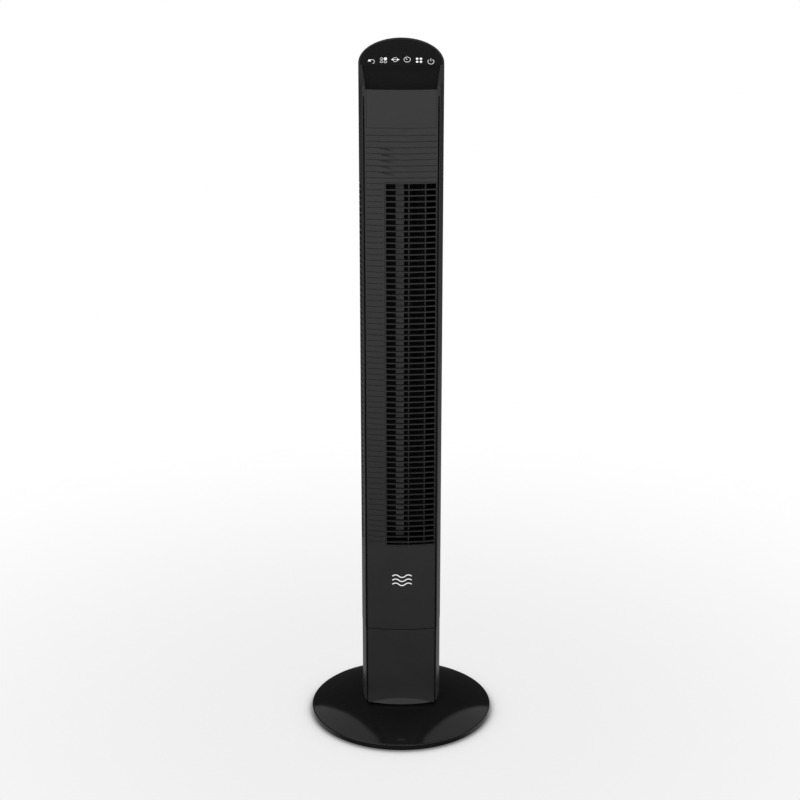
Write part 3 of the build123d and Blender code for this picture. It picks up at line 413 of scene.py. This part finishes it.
def plated_steel(name, colour, roughness, brush=(1.0, 1.0, 0.02)):
    """Bright plated metal with drawing lines."""
    f = Finish(name)
    stretch = f.node("ShaderNodeMapping", {"vector_type": "POINT"}, {"Vector": f.place(), "Scale": brush})
    lines = f.noise(size=0.0004, detail=4.0, roughness=0.7, where=stretch.outputs["Vector"])
    haze = f.noise(size=0.012, detail=3.0, roughness=0.6)
    f.surface(
        Base_Color=f.mix(haze, shade(colour, 0.85), shade(colour, 1.1)),
        Metallic=1.0,
        Roughness=roughness + (lines - 0.5) * 0.2 + (haze - 0.5) * 0.1,
        Normal=f.bump(lines, depth=0.00003),
    )
    return f.material


def stacked_steel(name, colour, sheet=0.0005):
    """Laminations: thin sheets stacked along Z."""
    f = Finish(name)
    wave = f.axes(f.place())[2].zigzag(sheet)
    stain = f.noise(size=0.008, detail=3.0, roughness=0.6)
    f.surface(
        Base_Color=f.mix(wave.ramp(0.0, 0.5), shade(colour, 0.4), shade(colour, 1.1)),
        Metallic=0.9,
        Roughness=0.45 + (stain - 0.5) * 0.2,
        Normal=f.bump(wave, depth=0.00008),
    )
    return f.material


def wound_copper(name, colour, wire=0.0005):
    """Enamelled wire wound round and round."""
    f = Finish(name)
    turns = f.axes(f.place())[2].zigzag(wire)
    patch = f.noise(size=0.006, detail=3.0, roughness=0.6)
    f.surface(
        Base_Color=f.mix(patch, shade(colour, 0.7), shade(colour, 1.1)),
        Metallic=0.85,
        Roughness=0.3 + (patch - 0.5) * 0.2,
        Coat_Weight=0.5,
        Normal=f.bump(turns, depth=0.0002),
    )
    return f.material


def circuit_laminate(name, colour):
    """Solder mask over copper tracks."""
    f = Finish(name)
    layout = {
        "Vector": f.place(), "Scale": 240.0, "Mortar Size": 0.06, "Mortar Smooth": 0.2,
        "Brick Width": 1.4, "Row Height": 0.5,
    }
    ridge = Wire(f, f.node("ShaderNodeTexBrick", {"offset": 0.37}, layout).outputs["Fac"])
    f.surface(
        Base_Color=f.mix(ridge, shade(colour, 0.75), shade(colour, 1.5)),
        Roughness=0.32,
        Coat_Weight=0.3,
        Normal=f.bump(ridge, depth=0.00004),
    )
    return f.material


def printed_ink_with_painted_glow(name, colour):
    """Screen-printed ink, a little uneven at its edges, with a painted glow."""
    f = Finish(name)
    edge = f.noise(size=0.0004, detail=3.0, roughness=0.6)
    f.surface(
        Base_Color=f.mix(edge, shade(colour, 0.92), shade(colour, 1.05)),
        Roughness=0.5 + (edge - 0.5) * 0.2,
        # Painted glow: the printed ink emits light of its own.
        Emission_Color=f.mix(edge, shade(colour, 0.30), shade(colour, 0.36)),
        Emission_Strength=1.0,
        Normal=f.bump(edge, depth=0.00002),
    )
    return f.material


def key_ink_with_painted_glow(name, colour):
    """Key mark ink with a painted glow, slightly brighter in places."""
    f = Finish(name)
    cloud = f.noise(size=0.003, detail=2.0, roughness=0.5)
    f.surface(
        Base_Color=f.mix(cloud, shade(colour, 0.9), shade(colour, 1.05)),
        Roughness=0.35 + (cloud - 0.5) * 0.1,
        # Painted glow: the ink of the key marks emits light of its own, brighter in places.
        Emission_Color=f.mix(cloud.ramp(0.2, 0.8), shade(colour, 0.32), shade(colour, 0.50)),
        Emission_Strength=1.0,
    )
    return f.material


def node_finishes(finish):
    """Material of each group of nodes."""
    front = satin_plastic("satin_front", finish.front_colour, finish, roughness=0.32, shine=0.5)
    # The housing gets painted shade in its grooves and gaps, reaching 6 mm.
    housing = satin_plastic("satin_housing", finish.housing_colour, finish, roughness=0.34, painted_shade_reach=0.006)
    grille = satin_plastic(
        "satin_grille", finish.front_colour, finish, roughness=0.34, shine=0.4, edge=False,
    )
    tongue = satin_plastic("satin_tongue", (0.11, 0.11, 0.112), finish, roughness=0.5, edge=False)
    base = piano_plastic("piano_base", finish.gloss_colour, finish)
    fascia = piano_plastic("piano_fascia", finish.gloss_colour, finish)
    dip = satin_plastic("satin_dip", (0.004, 0.004, 0.0042), finish, roughness=0.5, shine=0.2)
    inner = plain_plastic("inner_moulding", (0.004, 0.004, 0.004), roughness=0.6, shine=0.12)
    wheel = plain_plastic("wheel_moulding", (0.0035, 0.0035, 0.0035), roughness=0.5, shine=0.2)
    rubber = soft_rubber("black_rubber", (0.012, 0.012, 0.012))
    zinc = plated_steel("zinc_plate", (0.55, 0.55, 0.53), roughness=0.38)
    steel = plated_steel("screw_steel", (0.45, 0.45, 0.46), roughness=0.28)
    dark_steel = plated_steel("black_screw_steel", (0.06, 0.06, 0.06), roughness=0.4)
    acetal = plain_plastic("acetal", (0.62, 0.60, 0.55), roughness=0.4)
    bronze = plated_steel("sintered_bronze", (0.50, 0.32, 0.14), roughness=0.45)
    lamination = stacked_steel("laminations", (0.25, 0.25, 0.27))
    copper = wound_copper("wound_copper", (0.62, 0.24, 0.09))
    board = circuit_laminate("circuit_board", (0.02, 0.12, 0.05))
    part = plain_plastic("component_case", (0.02, 0.02, 0.02), roughness=0.4)
    return {
        base: ("base_cover",),
        fascia: ("touch_panel",),
        dip: ("scoop",),
        front: ("front_panel", "lower_front_cover", "display_window"),
        grille: ("outlet_grille",),
        tongue: ("duct_tongue",),
        housing: ("rear_housing", "lower_rear_cover"),
        inner: (
            "base_bottom_plate", "air_duct", "duct_bottom_plate", "duct_top_plate", "control_tray",
            "swing_plate", "cable_gland",
        ),
        wheel: ("blower_wheel",),
        rubber: ("rubber_feet", "top_bearing_rubber", "motor_mount_rubbers", "blower_hub"),
        zinc: (
            "base_weight_plate", "pivot_post", "retaining_plate", "motor_lower_shell",
            "motor_upper_shell", "swing_motor",
        ),
        steel: (
            "pivot_post_screws", "retaining_screws", "swing_plate_screws", "swing_motor_screws",
            "column_joint_screws", "control_board_screws", "motor_screws", "power_board_screws",
            "hub_set_screw", "touch_springs", "motor_shaft", "top_pin", "swing_motor_spindle",
        ),
        dark_steel: ("base_screws", "lower_cover_screws", "housing_screws"),
        acetal: ("swing_bush", "thrust_washer", "swing_ring_gear", "swing_pinion"),
        bronze: ("top_bearing_bush", "motor_bearings"),
        lamination: ("motor_stator", "motor_rotor"),
        copper: ("motor_windings",),
        board: ("control_board", "display_module", "power_board"),
        part: ("ir_receiver", "motor_capacitor"),
    }


# ---------------------------------------------------------------- marks
# An arc has a step for every so many degrees, but not fewer than these.
ARC_DEGREES = 12
ARC_STEPS = 4
DISC_SEGMENTS = 20

# Corners nearer than this, in metres, are one.
MERGE_DISTANCE = 1e-6

DOWN = Vector((0, 0, -1))
BACKWARDS = Vector((0, 1, 0))


def new_piece(name, mesh, material, body):
    """Object at the origin whose place is in its mesh, riding on a body."""
    data = bpy.data.meshes.new(name)
    bmesh.ops.recalc_face_normals(mesh, faces=mesh.faces)
    mesh.to_mesh(data)
    mesh.free()
    piece = bpy.data.objects.new(name, data)
    bpy.context.scene.collection.objects.link(piece)
    data.materials.append(material)
    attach(piece, body)


def ring_bar(mesh, radius, width, start, end, x=0.0, y=0.0):
    """Flat curved bar between two angles in degrees."""
    steps = max(ARC_STEPS, int(abs(end - start) / ARC_DEGREES))
    inner = bmesh.ops.create_vert(mesh, co=(radius - width / 2, 0, 0))["vert"]
    outer = bmesh.ops.create_vert(mesh, co=(radius + width / 2, 0, 0))["vert"]
    profile = inner + outer
    edge = mesh.edges.new(profile)
    bmesh.ops.rotate(mesh, matrix=Matrix.Rotation(math.radians(start), 3, "Z"), verts=profile)
    bmesh.ops.translate(mesh, vec=(x, y, 0), verts=profile)
    bmesh.ops.spin(
        mesh, geom=profile + [edge], cent=(x, y, 0), axis=(0, 0, 1),
        angle=math.radians(end - start), steps=steps, use_merge=abs(end - start) == 360,
    )


def flat_shape(mesh, points):
    """Flat face through the given corners."""
    mesh.faces.new([mesh.verts.new((x, y, 0)) for x, y in points])


def flat_bar(mesh, start, end, width):
    """Flat straight bar between two points."""
    along = Vector(end) - Vector(start)
    side = Vector((-along.y, along.x)).normalized() * width / 2
    flat_shape(mesh, [
        tuple(Vector(start) + side), tuple(Vector(start) - side),
        tuple(Vector(end) - side), tuple(Vector(end) + side),
    ])


def disc(mesh, radius, x, y):
    """Flat round spot."""
    bmesh.ops.create_circle(
        mesh, cap_ends=True, segments=DISC_SEGMENTS, radius=radius, matrix=Matrix.Translation((x, y, 0))
    )


# The marks are drawn for a width of 1 and enlarged afterwards.
PETAL_OFFSET = 0.25


def swing_mark(mesh, line):
    """Curved arrow for the swing of the column."""
    radius = 0.36
    tip_angle = math.radians(150)
    ring_bar(mesh, radius, line, -60, 128)
    tip = Vector((math.cos(tip_angle), math.sin(tip_angle))) * radius
    flat_shape(mesh, [
        (tip.x - 0.20, tip.y - 0.16), (tip.x + 0.26, tip.y - 0.10), (tip.x - 0.02, tip.y + 0.24),
    ])


def mode_mark(mesh, line):
    """Four petals, one of them filled."""
    for right, up in ((-1, 1), (-1, -1), (1, -1)):
        ring_bar(mesh, 0.18, line * 0.7, 0, 360, right * PETAL_OFFSET, up * PETAL_OFFSET)
    disc(mesh, 0.22, PETAL_OFFSET, PETAL_OFFSET)


def wind_mark(mesh, line):
    """Double arrow with a ring, for the spread of the air."""
    for start in (25, 205):
        ring_bar(mesh, 0.33, line * 0.8, start, start + 130)
    flat_bar(mesh, (-0.30, 0), (0.30, 0), line)
    for side in (-1, 1):
        flat_shape(mesh, [(side * 0.56, 0), (side * 0.26, 0.17), (side * 0.26, -0.17)])


def timer_mark(mesh, line):
    """Clock face with one hand."""
    ring_bar(mesh, 0.42, line, 0, 360)
    flat_bar(mesh, (0.02, -0.02), (-0.18, 0.18), line)


def speed_mark(mesh, line):
    """Four fan blades."""
    for x in (-PETAL_OFFSET, PETAL_OFFSET):
        for y in (-PETAL_OFFSET, PETAL_OFFSET):
            disc(mesh, 0.17, x, y)


def power_mark(mesh, line):
    """Open ring and a bar."""
    ring_bar(mesh, 0.40, line, 125, 415)
    flat_bar(mesh, (0, 0.08), (0, 0.52), line)


def breeze_mark(mesh, line):
    """Three wavy lines of moving air, each of three quarter turns."""
    arc_width = 0.29
    radius = arc_width * math.sqrt(0.5)
    for row in (-0.20, 0.0, 0.20):
        for step, side in ((-1, 1), (0, -1), (1, 1)):
            start = 90 * side - 45
            ring_bar(mesh, radius, line, start, start + 90, step * arc_width, row - side * arc_width / 2)


def print_on(mesh, node, way, thickness):
    """Drops a flat mark along a direction onto a node's surface and gives it its thickness."""
    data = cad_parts[node].data
    surface = BVHTree.FromPolygons(
        [vertex.co for vertex in data.vertices], [list(face.vertices) for face in data.polygons]
    )
    bmesh.ops.remove_doubles(mesh, verts=mesh.verts, dist=MERGE_DISTANCE)
    for vertex in mesh.verts:
        place = surface.ray_cast(vertex.co - way, way)[0]
        if place is None:
            raise RuntimeError(f"a mark lies beside {node}")
        vertex.co = place
    made = bmesh.ops.extrude_face_region(mesh, geom=list(mesh.faces))
    raised = [item for item in made["geom"] if isinstance(item, bmesh.types.BMVert)]
    bmesh.ops.translate(mesh, vec=-way * thickness, verts=raised)


# The key row runs from left to right.
KEY_MARKS = {
    "key_swing": swing_mark, "key_mode": mode_mark, "key_wind": wind_mark,
    "key_timer": timer_mark, "key_speed": speed_mark, "key_power": power_mark,
}


# ---------------------------------------------------------------- operators
class FAN_OT_finishes(bpy.types.Operator):
    """Give each piece of the fan its material"""

    bl_idname = "fan.finishes"
    bl_label = "Finish the mouldings"

    def execute(self, context):
        for material, nodes in node_finishes(context.scene.fan_finish).items():
            for node in nodes:
                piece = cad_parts[node]
                piece.data.materials.clear()
                piece.data.materials.append(material)
        return {"FINISHED"}


class FAN_OT_key_marks(bpy.types.Operator):
    """Print the six key marks on the touch panel"""

    bl_idname = "fan.key_marks"
    bl_label = "Key marks"

    def execute(self, context):
        marks = context.scene.fan_marks
        ink = key_ink_with_painted_glow("key_ink_painted_glow", marks.ink_colour)
        low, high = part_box("touch_panel")
        line = marks.line_width / marks.key_width
        for place, (name, draw) in enumerate(KEY_MARKS.items()):
            across = (place - (len(KEY_MARKS) - 1) / 2) * marks.key_spacing
            back = low.y + marks.key_setback - marks.key_bow * across**2
            mesh = bmesh.new()
            draw(mesh, line)
            size = (marks.key_width, marks.key_width * marks.key_stretch, 1.0)
            bmesh.ops.scale(mesh, vec=size, verts=mesh.verts)
            bmesh.ops.translate(mesh, vec=(across, back, high.z), verts=mesh.verts)
            print_on(mesh, "touch_panel", DOWN, marks.ink_height)
            new_piece(name, mesh, ink, "column")
        return {"FINISHED"}


class FAN_OT_badge(bpy.types.Operator):
    """Print the small breeze badge on the front panel"""

    bl_idname = "fan.badge"
    bl_label = "Breeze badge"

    def execute(self, context):
        marks = context.scene.fan_marks
        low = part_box("front_panel")[0]
        place = (marks.badge_offset, low.y, low.z + marks.badge_height)
        mesh = bmesh.new()
        breeze_mark(mesh, marks.badge_line)
        bmesh.ops.scale(mesh, vec=(marks.badge_width,) * 3, verts=mesh.verts)
        bmesh.ops.rotate(mesh, matrix=Matrix.Rotation(math.pi / 2, 3, "X"), verts=mesh.verts)
        bmesh.ops.translate(mesh, vec=place, verts=mesh.verts)
        print_on(mesh, "front_panel", BACKWARDS, marks.ink_height)
        ink = printed_ink_with_painted_glow("pale_ink", marks.ink_colour)
        new_piece("breeze_badge", mesh, ink, "column")
        return {"FINISHED"}


class FAN_OT_stage(bpy.types.Operator):
    """Floor, soft lights and camera"""

    bl_idname = "fan.stage"
    bl_label = "Stage"

    def execute(self, context):
        stage = context.scene.fan_stage
        self.floor(stage)
        self.sky(context)
        for name, lamp in LAMPS.items():
            self.lamp(name, **lamp)
        self.camera(context, stage)
        return {"FINISHED"}

    def floor(self, stage):
        """Pale floor that darkens only close to what stands on it, and a pale wall far away."""
        ground = bmesh.new()
        reach = stage.wall_distance
        bmesh.ops.create_circle(ground, cap_ends=True, segments=STAGE_SEGMENTS, radius=reach)
        wall = bmesh.new()
        bmesh.ops.create_cone(
            wall, cap_ends=False, segments=STAGE_SEGMENTS, radius1=reach, radius2=reach, depth=reach,
        )
        for name, mesh, shaded in (("floor", ground, True), ("backdrop", wall, False)):
            data = bpy.data.meshes.new(name)
            mesh.to_mesh(data)
            mesh.free()
            data.materials.append(self.pale("pale_" + name, stage, shaded))
            piece = bpy.data.objects.new(name, data)
            bpy.context.scene.collection.objects.link(piece)
            piece.visible_glossy = False
            piece.visible_diffuse = shaded
            piece.visible_shadow = shaded

    def pale(self, name, stage, shaded):
        """Even pale glow, with the soft shadow of whatever stands close by."""
        f = Finish(name)
        x, y = f.axes(f.place())[:2]
        far = (x * x + y * y) ** 0.5
        glow = stage.floor_glow + far.ramp(*PALE_RING) * (1.0 - stage.floor_glow)
        if shaded:
            for reach, full, strength in FLOOR_SHADOWS:
                glow = glow * (1.0 - f.cover(reach, samples=12).ramp(0.0, full) * strength)
        light = f.node("ShaderNodeEmission", None, {"Color": f.mix(glow, BLACK, WHITE)})
        f.node("ShaderNodeOutputMaterial", None, {"Surface": light.outputs["Emission"]})
        return f.material

    def sky(self, context):
        """Studio seen in the gloss, drawn over the directions right, back and up.

        Tall soft boxes stand at both sides of a dark space behind the fan. A pale wall is in front
        of it and a pale floor below.
        """
        world = bpy.data.worlds.new("studio")
        world.use_nodes = True
        context.scene.world = world
        f = Finish("studio", world.node_tree)
        right, back, up = f.axes(f.node("ShaderNodeTexCoord").outputs["Generated"])
        beside = (abs(right) - back * BOX_SLANT).ramp(0.0, 0.03)
        boxes = beside * up.ramp(0.26, 0.30) * back.ramp(-0.45, -0.25)
        front = back.ramp(0.1, -0.5) * up.ramp(-0.37, -0.27) * (1.0 - up.ramp(0.35, 0.6))
        below = (0.0 - up).ramp(0.13, 0.56) * back.ramp(-0.3, 0.3)
        glow = (
            STUDIO_GLOW["dark"] + boxes * STUDIO_GLOW["side_boxes"] + front * STUDIO_GLOW["front"]
            + below * STUDIO_GLOW["below"]
        )
        shell = f.node("ShaderNodeBackground", None, {"Color": f.mix(glow, BLACK, WHITE)})
        f.node("ShaderNodeOutputWorld", None, {"Surface": shell.outputs["Background"]})

    def lamp(self, name, place, target, width, height, power):
        """Soft lamp that isn't seen in the gloss."""
        data = bpy.data.lights.new(name, "AREA")
        data.shape = "RECTANGLE"
        data.size = width
        data.size_y = height
        data.energy = power
        lamp = bpy.data.objects.new(name, data)
        lamp.location = place
        lamp.rotation_euler = (Vector(target) - Vector(place)).to_track_quat("-Z", "Y").to_euler()
        lamp.visible_glossy = False
        bpy.context.scene.collection.objects.link(lamp)

    def camera(self, context, stage):
        """Camera in front of the fan, looking down at it."""
        data = bpy.data.cameras.new("camera")
        data.lens = stage.lens
        data.sensor_width = stage.sensor
        data.clip_end = CAMERA_REACH
        camera = bpy.data.objects.new("camera", data)
        camera.location = (stage.camera_offset, -stage.camera_distance, stage.camera_height)
        camera.rotation_euler = (math.pi / 2 - stage.pitch, 0.0, 0.0)
        context.scene.collection.objects.link(camera)
        context.scene.camera = camera
        context.scene.view_settings.view_transform = "Standard"


class FAN_PT_panel(bpy.types.Panel):
    """The fan's tools"""

    bl_label = "Tower fan"
    bl_idname = "FAN_PT_panel"
    bl_space_type = "VIEW_3D"
    bl_region_type = "UI"
    bl_category = "Tower fan"

    def draw(self, context):
        for operator in OPERATORS:
            self.layout.operator(operator.bl_idname)


GROUPS = {"fan_finish": FanFinish, "fan_marks": FanMarks, "fan_stage": FanStage}
OPERATORS = (FAN_OT_finishes, FAN_OT_key_marks, FAN_OT_badge, FAN_OT_stage)
CLASSES = tuple(GROUPS.values()) + OPERATORS + (FAN_PT_panel,)


def register():
    for kind in CLASSES:
        bpy.utils.register_class(kind)
    for name, group in GROUPS.items():
        setattr(bpy.types.Scene, name, PointerProperty(type=group))


def unregister():
    for name in GROUPS:
        delattr(bpy.types.Scene, name)
    for kind in reversed(CLASSES):
        bpy.utils.unregister_class(kind)


def main():
    register()
    bpy.ops.fan.finishes()
    bpy.ops.fan.key_marks()
    bpy.ops.fan.badge()
    bpy.ops.fan.stage()


if __name__ == "__main__":
    main()
